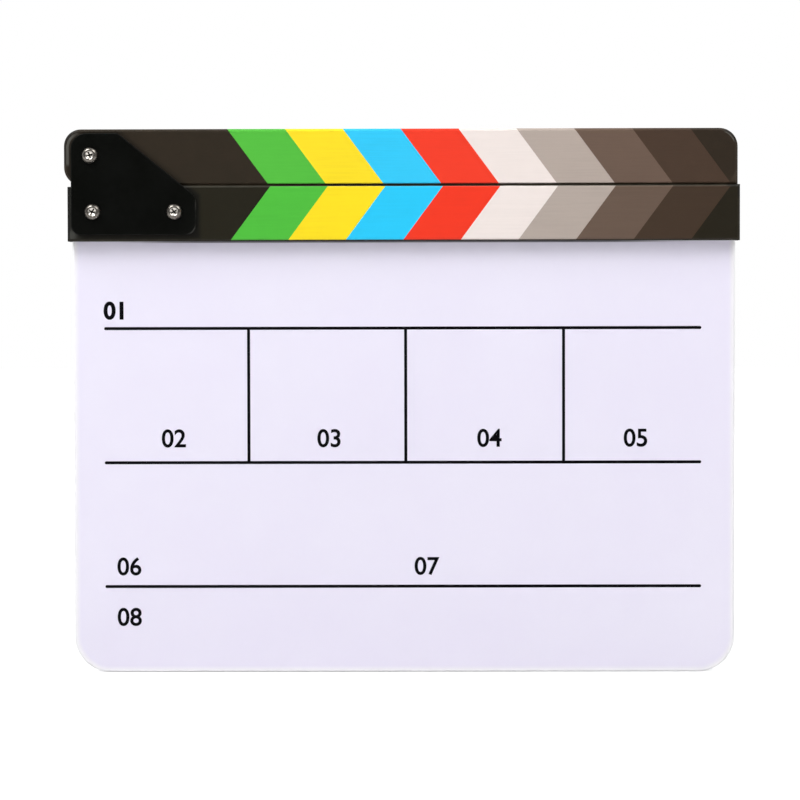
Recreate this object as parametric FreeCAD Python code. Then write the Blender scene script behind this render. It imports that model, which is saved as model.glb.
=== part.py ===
"""Film clapperboard: a white slate set in a grooved lower stick, with an upper stick that claps on it.

The upper stick turns on a sleeve clamped between two steel hinge plates. X runs along the sticks from
the hinge end to the free end, Y from front to back and Z up. The origin is the middle of the slate's
bottom edge. Lengths are in millimetres, angles in degrees.
"""

import FreeCAD
import Part

import math
import os

from FreeCAD import Vector

# Sticks
stick_length = 300.0
stick_height = 25.0
stick_thickness = 12.0
stick_arris = 1.0               # chamfer of the edges around both faces
upper_stick_lead = 1.5          # upper stick starts this far before the lower one
upper_stick_setback = 1.0       # and ends this far before it
nose_corner = 8.2               # top corner at the free end
tail_corner = 7.5               # top corner at the hinge end
heel_corner = 8.0               # bottom corner at the hinge end
heel_clearance = 0.3            # between the turning heel and the hollow in the lower stick
heel_land_drop = 0.6            # end of the lower stick beside the hollow, below the clapping face

# Slate
slate_thickness = 3.0
slate_drop = 193.5              # seen below the lower stick
slate_end_inset = 1.75          # from each end of the lower stick
slate_corner = 16.5
slate_bevel = 0.8

# Groove for the slate in the lower stick
groove_roof = 6.0               # wood between the groove and the clapping face
groove_side_clearance = 0.1
groove_roof_clearance = 0.3

# Pivot
pivot_from_end = 10.3           # from the hinge end of the lower stick
pivot_height = 13.3             # above the clapping face
sleeve_radius = 3.0
sleeve_bore_clearance = 0.05
running_clearance = 0.06        # stick on sleeve, radial
washer_radius = 6.0
washer_thickness = 0.4
washer_bore_clearance = 0.1
washer_play = 0.1               # beside each washer, so that the stick turns freely

# Hinge plates
plate_thickness = 1.2
plate_end_inset = 1.7           # from the hinge end of the lower stick
plate_width = 55.8
plate_foot_inset = 2.9          # above the bottom of the lower stick
plate_top_inset = 1.8           # below the top of the upper stick
plate_top_width = 21.0
plate_side_height = 17.0        # upright edge below the shoulder
plate_foot_corner = 4.5
plate_shoulder_corner = 7.5
plate_tip_corner = 2.0
plate_tail_corner = 7.0
plate_chamfer = 0.35            # around the outer face

# Machine screws and nuts
screw_radius = 2.0
screw_hole_clearance = 0.15
slate_hole_clearance = 0.4
screw_head_radius = 3.6
screw_head_height = 2.3
screw_head_rim = 0.9
screw_head_flat = 2.4           # radius of the flat top, around the recess
screw_tip_showing = 1.8
screw_recess_length = 4.3       # cross recess, from the end of one wing to the other
screw_recess_wing = 1.0         # width of a wing
screw_recess_depth = 1.5
plate_screw_drop = 11.9         # below the clapping face
plate_screw_inset = 9.7         # from each upright edge of the plate
nut_flats = 7.0
nut_height = 3.2
nut_bore_clearance = 0.05
nut_chamfer = 0.45
lock_collar_height = 1.8        # above the hexagon of the locking nut
lock_collar_radius = 3.1
lock_collar_chamfer = 0.5
lock_ring_height = 1.1
lock_ring_radius = 2.6
lock_ring_clearance = 0.05
pivot_screw_turn = 20.0
left_screw_turn = 62.0
right_screw_turn = 35.0

# Countersunk screws that hold the slate in the groove
board_screw_count = 4
board_screw_radius = 1.5
board_screw_head_radius = 2.9
board_screw_head_height = 1.5
board_recess_length = 3.2
board_recess_wing = 0.8
board_recess_depth = 1.1
board_recess_turn = 25.0        # each screw stops this much further round than the last
board_screw_drop = 13.0         # below the clapping face
board_screw_first = 90.0        # from the hinge end of the lower stick
board_screw_last = 30.0         # from the free end of the lower stick
board_screw_clearance = 0.08
board_screw_sink = 0.1          # head below the back of the stick
board_screw_cover = 2.0         # wood between the end of the screw and the front

# Magnets
magnet_radius = 3.0
magnet_thickness = 3.0
magnet_clearance = 0.05
magnet_sink = 0.1               # below the clapping face
magnet_from_end = 18.0          # from the free end of the lower stick

# Places that follow from the sizes above
hinge_end = -stick_length / 2
free_end = stick_length / 2
clap_z = slate_drop + stick_height
stick_front = -stick_thickness / 2
stick_back = stick_thickness / 2
plate_front = stick_front - plate_thickness
plate_back = stick_back + plate_thickness
groove_depth = stick_height - groove_roof
groove_width = slate_thickness + 2 * groove_side_clearance
slate_width = stick_length - 2 * slate_end_inset
slate_height = clap_z - groove_roof - groove_roof_clearance
upper_thickness = stick_thickness - 2 * (washer_thickness + washer_play)
pivot_x = hinge_end + pivot_from_end
pivot_z = clap_z + pivot_height
upper_tail = hinge_end - upper_stick_lead
upper_nose = free_end - upper_stick_setback
upper_top = clap_z + stick_height
heel_centre_offset = math.hypot(pivot_x - upper_tail - heel_corner, pivot_height - heel_corner)
hollow_radius = heel_centre_offset + heel_corner + heel_clearance
plate_left = hinge_end + plate_end_inset
plate_right = plate_left + plate_width
plate_foot = slate_drop + plate_foot_inset
plate_top = upper_top - plate_top_inset
screw_hole = screw_radius + screw_hole_clearance
nut_corner = nut_flats / math.sqrt(3)
lock_nut_height = nut_height + lock_collar_height
magnet_x = free_end - magnet_from_end
plate_screw_z = clap_z - plate_screw_drop
plate_screw_places = {
    "left": plate_left + plate_screw_inset,
    "right": plate_right - plate_screw_inset,
}
board_screw_z = clap_z - board_screw_drop
board_screw_start = hinge_end + board_screw_first
board_screw_step = (stick_length - board_screw_first - board_screw_last) / (board_screw_count - 1)
board_screw_places = [board_screw_start + i * board_screw_step for i in range(board_screw_count)]

ALONG_Y = Vector(0, 1, 0)
ALONG_Z = Vector(0, 0, 1)


def wire_through(start, *steps):
    """Close a wire from start through steps: a point ends a line, a (middle, end) pair ends an arc."""
    edges = []
    here = start
    for step in steps + (start,):
        if isinstance(step, tuple):
            middle, end = step
            edges.append(Part.Arc(here, middle, end).toShape())
        else:
            end = step
            if here.distanceToPoint(end) > 1e-6:
                edges.append(Part.LineSegment(here, end).toShape())
        here = end
    return Part.Wire(edges)


def rounded_wire(corners, y):
    """Close a wire in the plane at y through (x, z, radius) corners; the last one is rounded."""
    points = [Vector(x, y, z) for x, z, _ in corners]
    steps = []
    for i, corner in enumerate(points):
        radius = corners[i][2]
        if radius == 0:
            steps.append(corner)
            continue
        back = (points[i - 1] - corner).normalize()
        ahead = (points[(i + 1) % len(points)] - corner).normalize()
        half_angle = back.getAngle(ahead) / 2
        reach = radius / math.tan(half_angle)
        middle = (back + ahead).normalize() * (radius / math.sin(half_angle) - radius)
        steps.append(corner + back * reach)
        steps.append((corner + middle, corner + ahead * reach))
    return wire_through(corner + ahead * reach, *steps)


def slab(wire, thickness):
    """Thicken a flat wire towards the back."""
    return Part.Face(wire).extrude(ALONG_Y * thickness)


def face_edges(shape, *places):
    """List the edges that lie wholly in the upright planes at the given places along Y."""
    edges = []
    for edge in shape.Edges:
        box = edge.BoundBox
        if any(abs(box.YMin - y) < 1e-4 and abs(box.YMax - y) < 1e-4 for y in places):
            edges.append(edge)
    return edges


def rod(x, z, radius, y, length):
    """Make a cylinder that runs from y towards the back."""
    return Part.makeCylinder(radius, length, Vector(x, y, z), ALONG_Y)


def rods(places, z, radius, y, length):
    """Make a row of cylinders at one height, to cut a row of holes."""
    return [rod(x, z, radius, y, length) for x in places]


def tube(x, z, outer, inner, y, length):
    """Make a ring that runs from y towards the back."""
    return rod(x, z, outer, y, length).cut(rod(x, z, inner, y, length))


def turned(start, *steps):
    """Turn a (radius, y) profile about the Y axis."""
    points = [Vector(radius, y, 0) for radius, y in (start,) + steps]
    return Part.Face(wire_through(*points)).revolve(Vector(), ALONG_Y, 360)


def cross_recess(length, wing, depth, turn):
    """Make the cross cut into a screw head whose top is at the origin, facing the front."""
    bar = Part.makeBox(length, depth, wing, Vector(-length / 2, 0, -wing / 2))
    across = bar.copy()
    across.rotate(Vector(), ALONG_Y, 90)
    cross = bar.fuse(across)
    cross.rotate(Vector(), ALONG_Y, turn)
    return cross


def slate_board():
    """Make the white sheet with its bevelled edges and the screw holes hidden in the groove."""
    half = slate_width / 2
    corners = [
        (half, slate_height, 0),
        (-half, slate_height, 0),
        (-half, 0, slate_corner),
        (half, 0, slate_corner),
    ]
    front = -slate_thickness / 2
    sheet = slab(rounded_wire(corners, front), slate_thickness)
    sheet = sheet.makeChamfer(slate_bevel, face_edges(sheet, front, -front))
    plate_hole = screw_radius + slate_hole_clearance
    board_hole = board_screw_radius + slate_hole_clearance
    holes = rods(plate_screw_places.values(), plate_screw_z, plate_hole, front, slate_thickness)
    holes += rods(board_screw_places, board_screw_z, board_hole, front, slate_thickness)
    return sheet.cut(holes)


def magnet_pocket(face_z, direction):
    """Make the pocket cut for a magnet into a clapping face."""
    depth = magnet_thickness + magnet_sink
    return Part.makeCylinder(
        magnet_radius + magnet_clearance, depth, Vector(magnet_x, 0, face_z), ALONG_Z * direction
    )


def magnet(face_z, direction):
    """Make a disc magnet that sits on the floor of its pocket."""
    start = Vector(magnet_x, 0, face_z + direction * magnet_sink)
    return Part.makeCylinder(magnet_radius, magnet_thickness, start, ALONG_Z * direction)


def lower_stick():
    """Make the fixed stick with the slate's groove, the hollow under the heel and every hole."""
    corner = Vector(hinge_end, stick_front, slate_drop)
    stick = Part.makeBox(stick_length, stick_thickness, stick_height, corner)
    stick = stick.makeChamfer(stick_arris, face_edges(stick, stick_front, stick_back))
    groove_start = Vector(hinge_end, -groove_width / 2, slate_drop)
    groove = Part.makeBox(stick_length, groove_width, groove_depth, groove_start)
    land_start = Vector(hinge_end, stick_front, clap_z - heel_land_drop)
    land = Part.makeBox(pivot_from_end, stick_thickness, heel_land_drop, land_start)
    hollow = rod(pivot_x, pivot_z, hollow_radius, stick_front, stick_thickness)
    cutters = [groove, land, hollow, magnet_pocket(clap_z, -1)]
    cutters += rods(plate_screw_places.values(), plate_screw_z, screw_hole, stick_front, stick_thickness)
    cutters += [board_screw_form(x, stick_back, board_screw_clearance) for x in board_screw_places]
    return stick.cut(cutters)


def upper_stick():
    """Make the swinging stick with its rounded heel, tail and nose, its bore and magnet pocket."""
    corners = [
        (upper_nose, clap_z, 0),
        (upper_tail, clap_z, heel_corner),
        (upper_tail, upper_top, tail_corner),
        (upper_nose, upper_top, nose_corner),
    ]
    front = -upper_thickness / 2
    stick = slab(rounded_wire(corners, front), upper_thickness)
    stick = stick.makeChamfer(stick_arris, face_edges(stick, front, -front))
    bore = rod(pivot_x, pivot_z, sleeve_radius + running_clearance, front, upper_thickness)
    return stick.cut([bore, magnet_pocket(clap_z, 1)])


def hinge_plate(inner, outward):
    """Make a hinge plate whose inner face is at inner and whose outer rim is chamfered."""
    outer = inner + outward * plate_thickness
    corners = [
        (plate_left, plate_foot, plate_foot_corner),
        (plate_right, plate_foot, plate_foot_corner),
        (plate_right, plate_foot + plate_side_height, plate_shoulder_corner),
        (plate_left + plate_top_width, plate_top, plate_tip_corner),
        (plate_left, plate_top, plate_tail_corner),
    ]
    front = min(inner, outer)
    plate = slab(rounded_wire(corners, front), plate_thickness)
    plate = plate.makeChamfer(plate_chamfer, face_edges(plate, outer))
    holes = rods(plate_screw_places.values(), plate_screw_z, screw_hole, front, plate_thickness)
    holes.append(rod(pivot_x, pivot_z, screw_hole, front, plate_thickness))
    return plate.cut(holes)


def pan_screw(x, z, nut, turn):
    """Make a pan-head screw that clamps both plates and ends just past a nut of the given height."""
    clamped = plate_back - plate_front + nut
    length = clamped + screw_tip_showing
    screw = turned(
        (0, -screw_head_height),
        (screw_head_flat, -screw_head_height),
        (screw_head_radius, -screw_head_rim),
        (screw_head_radius, 0),
        (screw_radius, 0),
        (screw_radius, length),
        (0, length),
    )
    recess = cross_recess(screw_recess_length, screw_recess_wing, screw_recess_depth, turn)
    recess.translate(Vector(0, -screw_head_height, 0))
    screw = screw.cut(recess)
    screw.translate(Vector(x, plate_front, z))
    return screw


def hexagon(height):
    """Make a hexagonal bar about the Y axis."""
    turns = [math.radians(60 * i) for i in range(6)]
    points = [Vector(math.cos(turn), 0, math.sin(turn)) * nut_corner for turn in turns]
    return slab(wire_through(*points), height)


def plain_nut(x, z):
    """Make a hexagon nut chamfered on its outer side."""
    form = turned(
        (0, 0),
        (nut_corner, 0),
        (nut_corner, nut_height - nut_chamfer),
        (nut_flats / 2, nut_height),
        (0, nut_height),
    )
    nut = hexagon(nut_height).common(form)
    nut = nut.cut(rod(0, 0, screw_radius + nut_bore_clearance, 0, nut_height))
    nut.translate(Vector(x, plate_back, z))
    return nut


def lock_nut():
    """Make the pivot's locking nut: a hexagon with a round collar that holds a soft ring."""
    form = turned(
        (0, 0),
        (nut_corner, 0),
        (nut_corner, nut_height - nut_chamfer),
        (nut_flats / 2, nut_height),
        (lock_collar_radius, nut_height),
        (lock_collar_radius, lock_nut_height - lock_collar_chamfer),
        (lock_collar_radius - lock_collar_chamfer, lock_nut_height),
        (0, lock_nut_height),
    )
    nut = hexagon(lock_nut_height).common(form)
    seat_radius = lock_ring_radius + lock_ring_clearance
    seat = rod(0, 0, seat_radius, lock_nut_height - lock_ring_height, lock_ring_height)
    nut = nut.cut([rod(0, 0, screw_radius + nut_bore_clearance, 0, lock_nut_height), seat])
    nut.translate(Vector(pivot_x, plate_back, pivot_z))
    return nut


def lock_ring():
    """Make the soft ring inside the locking nut."""
    start = plate_back + lock_nut_height - lock_ring_height
    inner = screw_radius + nut_bore_clearance
    return tube(pivot_x, pivot_z, lock_ring_radius, inner, start, lock_ring_height)


def pivot_sleeve():
    """Make the spacer clamped between the hinge plates, on which the upper stick turns."""
    inner = screw_radius + sleeve_bore_clearance
    return tube(pivot_x, pivot_z, sleeve_radius, inner, stick_front, stick_thickness)


def pivot_washer(plate_face, inward):
    """Make a thin washer that sits against the inner face of a hinge plate."""
    start = min(plate_face, plate_face + inward * washer_thickness)
    inner = sleeve_radius + washer_bore_clearance
    return tube(pivot_x, pivot_z, washer_radius, inner, start, washer_thickness)


def board_screw_form(x, head_top, growth):
    """Make the form of a countersunk screw driven from the back, or of its hole, grown all round."""
    head = board_screw_head_radius + growth
    shank = board_screw_radius + growth
    neck = stick_back - board_screw_sink - board_screw_head_height
    end = stick_front + board_screw_cover - growth
    form = turned(
        (0, head_top),
        (head, head_top),
        (shank, neck),
        (shank, end),
        (0, end),
    )
    form.translate(Vector(x, 0, board_screw_z))
    return form


def board_screw(x, turn):
    """Make one of the countersunk screws that hold the slate in the groove."""
    head_top = stick_back - board_screw_sink
    recess = cross_recess(board_recess_length, board_recess_wing, board_recess_depth, turn)
    recess.translate(Vector(x, head_top - board_recess_depth, board_screw_z))
    return board_screw_form(x, head_top, 0).cut(recess)


def clapperboard():
    """Build every piece under its node name."""
    pieces = {
        "slate_board": slate_board(),
        "lower_stick": lower_stick(),
        "upper_stick": upper_stick(),
        "lower_magnet": magnet(clap_z, -1),
        "upper_magnet": magnet(clap_z, 1),
        "front_hinge_plate": hinge_plate(stick_front, -1),
        "rear_hinge_plate": hinge_plate(stick_back, 1),
        "pivot_sleeve": pivot_sleeve(),
        "front_pivot_washer": pivot_washer(stick_front, 1),
        "rear_pivot_washer": pivot_washer(stick_back, -1),
        "pivot_screw": pan_screw(pivot_x, pivot_z, lock_nut_height, pivot_screw_turn),
        "pivot_lock_nut": lock_nut(),
        "lock_nut_ring": lock_ring(),
    }
    turns = {"left": left_screw_turn, "right": right_screw_turn}
    for side, x in plate_screw_places.items():
        pieces[f"{side}_plate_screw"] = pan_screw(x, plate_screw_z, nut_height, turns[side])
        pieces[f"{side}_plate_nut"] = plain_nut(x, plate_screw_z)
    for i, x in enumerate(board_screw_places, 1):
        pieces[f"board_screw_{i}"] = board_screw(x, board_recess_turn * i)
    return pieces


os.makedirs("parts", exist_ok=True)
for name, shape in clapperboard().items():
    shape.exportStep(f"parts/{name}.step")
    print(name, round(shape.Volume, 2), shape.isValid(), len(shape.Solids))
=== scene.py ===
"""Looks of the clapperboard: a finish for every solid, the print on the slate and finer screws.

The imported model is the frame. X runs along the sticks from the hinge end to the free end, Y from the
printed front to the back and Z up. Lengths are in metres; sizes are written in millimetres times MM.
"""

import logging
import math
from abc import ABC, abstractmethod
from dataclasses import dataclass, field
from enum import Enum
from typing import Union

import bmesh
import bpy
import numpy as np
from mathutils import Matrix, Vector
from numpy.typing import NDArray


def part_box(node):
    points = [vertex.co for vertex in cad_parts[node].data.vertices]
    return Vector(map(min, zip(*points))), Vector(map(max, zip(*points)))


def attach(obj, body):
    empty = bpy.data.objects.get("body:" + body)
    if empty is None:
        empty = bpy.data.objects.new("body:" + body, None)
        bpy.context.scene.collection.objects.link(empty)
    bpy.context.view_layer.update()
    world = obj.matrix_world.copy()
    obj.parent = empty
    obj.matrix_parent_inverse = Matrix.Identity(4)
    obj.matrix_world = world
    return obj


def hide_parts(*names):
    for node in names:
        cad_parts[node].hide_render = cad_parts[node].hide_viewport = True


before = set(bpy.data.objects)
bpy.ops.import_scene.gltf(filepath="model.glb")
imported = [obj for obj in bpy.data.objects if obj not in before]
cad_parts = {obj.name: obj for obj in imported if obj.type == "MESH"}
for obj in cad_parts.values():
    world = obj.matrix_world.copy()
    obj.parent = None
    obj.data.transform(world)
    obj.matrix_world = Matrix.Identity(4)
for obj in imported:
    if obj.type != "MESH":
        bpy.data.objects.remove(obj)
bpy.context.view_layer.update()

Array = NDArray[np.float64]
Colour = tuple[float, float, float, float]
Point = tuple[float, float, float]
Range = tuple[float, float]
Piece = bpy.types.Object
Material = bpy.types.Material
Tree = bpy.types.NodeTree
Inputs = bpy.types.NodeInputs
Outputs = bpy.types.NodeOutputs
Socket = bpy.types.NodeSocket
Source = Union[Socket, float, tuple]
Feeds = dict[Union[str, int], Source]

MM = 0.001
PURE_BLACK: Colour = (0.0, 0.0, 0.0, 1.0)
PURE_WHITE: Colour = (1.0, 1.0, 1.0, 1.0)
LOG = logging.getLogger("clapperboard")


class Slot(Enum):
    """The record's material slots for the new pieces' finishes; nothing in the script uses them."""

    ACRYLIC = "slate_acrylic"
    SCREW = "screw_plating"


class Weight(Enum):
    """How far the outline of a printed numeral is spread, as a share of its size."""

    PLAIN = 0.016
    BOLD = 0.034


class Anchor(Enum):
    """Which part of a printed numeral its place refers to."""

    LEFT = "LEFT"
    MIDDLE = "CENTER"


def display(red: int, green: int, blue: int) -> Colour:
    """Turn display values from 0 to 255 into a linear colour.

    With c from 0 to 1 it is ((c + 0.055) / 1.055) ^ 2.4, or c / 12.92 where c is at most 0.04045.

    Args:
        red, green, blue: The colour as a screen shows it.

    Returns:
        The linear colour with an alpha of 1.
    """
    values = np.array([red, green, blue]) / 255
    linear = np.where(values <= 0.04045, values / 12.92, ((values + 0.055) / 1.055) ** 2.4)
    return (*linear.tolist(), 1.0)


class Stripe(Enum):
    """The colours of the sticks' slanted stripes, from the hinge end to the free end."""

    BLACK = display(32, 29, 17)
    GREEN = display(80, 190, 62)
    YELLOW = display(254, 225, 33)
    BLUE = display(42, 203, 250)
    RED = display(245, 58, 34)
    WHITE = display(241, 230, 225)
    PALE_GREY = display(181, 168, 159)
    DARK_GREY = display(104, 86, 74)
    BROWN = display(66, 51, 39)
    UMBER = display(34, 29, 17)


class NodeSheet:
    """A node tree that is filled step by step."""

    def __init__(self, tree: Tree) -> None:
        """Take over a node tree."""
        self.tree = tree

    def feed(self, inputs: Inputs, sources: Feeds) -> None:
        """Link the inputs of a node to outputs, or set their values.

        Args:
            inputs: The node's inputs.
            sources: The outputs and values, by the inputs' names or numbers.
        """
        for name, source in sources.items():
            if isinstance(source, Socket):
                self.tree.links.new(source, inputs[name])
            else:
                inputs[name].default_value = source

    def add(self, kind: str, sources: Feeds, **settings: object) -> Outputs:
        """Add a node.

        Args:
            kind: The node's type name.
            sources: What feeds its inputs, by their names or numbers.
            settings: The node's own options.

        Returns:
            The node's outputs.
        """
        node = self.tree.nodes.new(kind)
        for name, value in settings.items():
            setattr(node, name, value)
        self.feed(node.inputs, sources)
        return node.outputs

    def math(self, operation: str, first: Source, *others: Source) -> Socket:
        """Put out an operation on one number, or carry it through several from left to right.

        Args:
            operation: The operation's name.
            first, others: The numbers.

        Returns:
            The result.
        """
        for other in others or (0.0,):
            first = self.add("ShaderNodeMath", {0: first, 1: other}, operation=operation)[0]
        return first

    def plus(self, *numbers: Source) -> Socket:
        """Put out a sum."""
        return self.math("ADD", *numbers)

    def minus(self, *numbers: Source) -> Socket:
        """Put out the first number less the others."""
        return self.math("SUBTRACT", *numbers)

    def times(self, *numbers: Source) -> Socket:
        """Put out a product."""
        return self.math("MULTIPLY", *numbers)

    def vector(self, operation: str, first: Source, second: Source = (0.0, 0.0, 0.0)) -> Socket:
        """Put out one operation on two vectors."""
        return self.add("ShaderNodeVectorMath", {0: first, 1: second}, operation=operation)[0]

    def scaled(self, vector: Source, factor: Source) -> Socket:
        """Put out a vector or a colour times a number."""
        return self.add("ShaderNodeVectorMath", {0: vector, "Scale": factor}, operation="SCALE")[0]

    def length(self, vector: Source) -> Socket:
        """Put out the length of a vector."""
        return self.add("ShaderNodeVectorMath", {0: vector}, operation="LENGTH")["Value"]

    def split(self, vector: Source) -> tuple[Socket, ...]:
        """Put out the three parts of a vector."""
        return tuple(self.add("ShaderNodeSeparateXYZ", {0: vector}))

    def join(self, x: Source, y: Source, z: Source) -> Socket:
        """Put out a vector from its three parts."""
        return self.add("ShaderNodeCombineXYZ", {0: x, 1: y, 2: z})[0]

    def rise(self, value: Source, low: Source, high: Source) -> Socket:
        """Put out a smooth step from 0 at low to 1 at high."""
        sources = {"Value": value, "From Min": low, "From Max": high}
        return self.add("ShaderNodeMapRange", sources, interpolation_type="SMOOTHSTEP")[0]

    def between(self, value: Source, low: float, high: float) -> Socket:
        """Put out a number from low, where value is 0, to high, where it is 1."""
        return self.add("ShaderNodeMapRange", {"Value": value, "To Min": low, "To Max": high})[0]

    def noise(self, place: Source, scale: Source, detail: float) -> Socket:
        """Put out a cloud of values around a half."""
        return self.add("ShaderNodeTexNoise", {"Vector": place, "Scale": scale, "Detail": detail})[0]

    def mix(self, share: Source, first: Source, second: Source) -> Socket:
        """Put out a number from first, where share is 0, to second, where it is 1."""
        return self.add("ShaderNodeMix", {0: share, 2: first, 3: second})[0]

    def blend(self, share: Source, first: Source, second: Source) -> Socket:
        """Put out a colour from first, where share is 0, to second, where it is 1."""
        return self.add("ShaderNodeMix", {0: share, 6: first, 7: second}, data_type="RGBA")[2]

    def bump(self, height: Socket, depth: float) -> Socket:
        """Turn a height from 0 to 1 into a normal, depth metres high."""
        return self.add("ShaderNodeBump", {"Strength": 1.0, "Distance": depth, "Height": height})[0]

    def by_ray(self, lit: Source, mirrored: Source, seen: Source) -> Socket:
        """Put out one of three strengths, by what asks for it.

        Args:
            lit: The strength that lights the object.
            mirrored: What gloss, mirrors and glass show.
            seen: What the camera sees.

        Returns:
            The strength.
        """
        path = self.add("ShaderNodeLightPath", {})
        indirect = self.math("MAXIMUM", path["Is Glossy Ray"], path["Is Transmission Ray"])
        return self.mix(path["Is Camera Ray"], self.mix(indirect, lit, mirrored), seen)


class Effects:
    """The shader groups that several finishes share. Each is built once and takes its own values."""

    contrast: Range = (0.3, 0.7)
    fine_share: float = 0.3
    fine_ratio: float = 5.0
    scratch_ratio: float = 45.0
    scratch_slants: Range = (0.5, -0.9)
    scratch_peaks: Range = (0.66, 0.74)
    rub_scale: float = 160.0
    rub_contrast: Range = (0.35, 0.65)

    def __init__(self) -> None:
        """Build the groups."""
        self.cloud = self._cloud()
        self.grain = self._grain()
        self.hairlines = self._hairlines()
        self.edge = self._edge()

    @staticmethod
    def _open(name: str, inputs: dict[str, str], *outputs: str) -> tuple[NodeSheet, Outputs, Inputs]:
        """Start a group.

        Args:
            name: The group's name.
            inputs: Its inputs and whether each is a Float or a Vector.
            outputs: Its outputs, all of which are numbers.

        Returns:
            The sheet to fill, the inputs to read and the outputs to feed.
        """
        tree = bpy.data.node_groups.new(name, "ShaderNodeTree")
        for socket, kind in inputs.items():
            tree.interface.new_socket(socket, in_out="INPUT", socket_type=f"NodeSocket{kind}")
        for socket in outputs:
            tree.interface.new_socket(socket, in_out="OUTPUT", socket_type="NodeSocketFloat")
        given = tree.nodes.new("NodeGroupInput").outputs
        wanted = tree.nodes.new("NodeGroupOutput").inputs
        return NodeSheet(tree), given, wanted

    def _cloud(self) -> Tree:
        """Build soft blotches: a broad cloud of the given size mixed with a finer one.

        Returns:
            The group.
        """
        sheet, given, wanted = self._open("Cloud", {"Vector": "Vector", "Size": "Float"}, "Value")
        scale = sheet.math("DIVIDE", 1.0, given["Size"])
        broad = sheet.noise(given["Vector"], scale, detail=3.0)
        fine = sheet.noise(given["Vector"], sheet.times(scale, self.fine_ratio), detail=4.0)
        total = sheet.mix(self.fine_share, broad, fine)
        sheet.feed(wanted, {"Value": sheet.rise(total, *self.contrast)})
        return sheet.tree

    def _grain(self) -> Tree:
        """Build long streaks along X: a cloud whose coordinates are divided by Length and Width.

        Returns:
            The group.
        """
        inputs = {"Vector": "Vector", "Length": "Float", "Width": "Float"}
        sheet, given, wanted = self._open("Grain", inputs, "Value")
        size = sheet.join(given["Length"], given["Width"], given["Width"])
        streaks = sheet.noise(sheet.vector("DIVIDE", given["Vector"], size), scale=1.0, detail=5.0)
        sheet.feed(wanted, {"Value": sheet.rise(streaks, *self.contrast)})
        return sheet.tree

    def _hairlines(self) -> Tree:
        """Build fine scratches: two slanted sets of streaks, each kept only at the peaks of its cloud.

        Returns:
            The group.
        """
        sheet, given, wanted = self._open("Hairlines", {"Vector": "Vector", "Spacing": "Float"}, "Mask")
        run = sheet.times(given["Spacing"], self.scratch_ratio)
        size = sheet.join(run, given["Spacing"], given["Spacing"])
        sets = []
        for slant in self.scratch_slants:
            turn = {"Vector": given["Vector"], "Angle": slant}
            turned = sheet.add("ShaderNodeVectorRotate", turn, rotation_type="Y_AXIS")[0]
            streaks = sheet.noise(sheet.vector("DIVIDE", turned, size), scale=1.0, detail=2.0)
            sets.append(sheet.rise(streaks, *self.scratch_peaks))
        sheet.feed(wanted, {"Mask": sheet.math("MAXIMUM", *sets)})
        return sheet.tree

    def _edge(self) -> Tree:
        """Build the edges of a flat piece with rounded corners.

        Distance is how far a point lies inside the outline in X and Z: with q = |p - centre| - half + corner
        it is corner - length(max(q, 0)) - min(max(qx, qz), 0). Rub is 1 at the outline where the point is
        also near the front or back, fades over Reach, and is broken up by a cloud.

        Returns:
            The group.
        """
        inputs = {name: "Vector" for name in ("Vector", "Centre", "Half")}
        inputs |= {"Corner": "Float", "Reach": "Float"}
        sheet, given, wanted = self._open("Edge", inputs, "Distance", "Rub")
        away = sheet.vector("ABSOLUTE", sheet.vector("SUBTRACT", given["Vector"], given["Centre"]))
        over_x, over_y, over_z = sheet.split(sheet.vector("SUBTRACT", away, given["Half"]))
        q_x, q_z = (sheet.plus(over, given["Corner"]) for over in (over_x, over_z))
        out_x, out_z = (sheet.math("MAXIMUM", q, 0.0) for q in (q_x, q_z))
        inside = sheet.math("MINIMUM", sheet.math("MAXIMUM", q_x, q_z), 0.0)
        distance = sheet.minus(given["Corner"], sheet.length(sheet.join(out_x, 0.0, out_z)), inside)
        depth = sheet.times(over_y, -1.0)
        near = [sheet.rise(gap, given["Reach"], 0.0) for gap in (distance, depth)]
        patches = sheet.rise(sheet.noise(given["Vector"], self.rub_scale, detail=5.0), *self.rub_contrast)
        sheet.feed(wanted, {"Distance": distance, "Rub": sheet.times(*near, patches)})
        return sheet.tree


@dataclass(frozen=True)
class Outline:
    """The box of a flat node and the radius of its corners, for finishes that follow its edges."""

    low: Point
    high: Point
    corner: float

    @classmethod
    def of(cls, node: str, corner: float) -> "Outline":
        """Take the box of a node."""
        low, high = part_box(node)
        return cls(tuple(low), tuple(high), corner)

    @property
    def centre(self) -> Point:
        """Give the middle of the box."""
        return tuple((low + high) / 2 for low, high in zip(self.low, self.high))

    @property
    def half(self) -> Point:
        """Give half the length of each side of the box."""
        return tuple((high - low) / 2 for low, high in zip(self.low, self.high))


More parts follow.
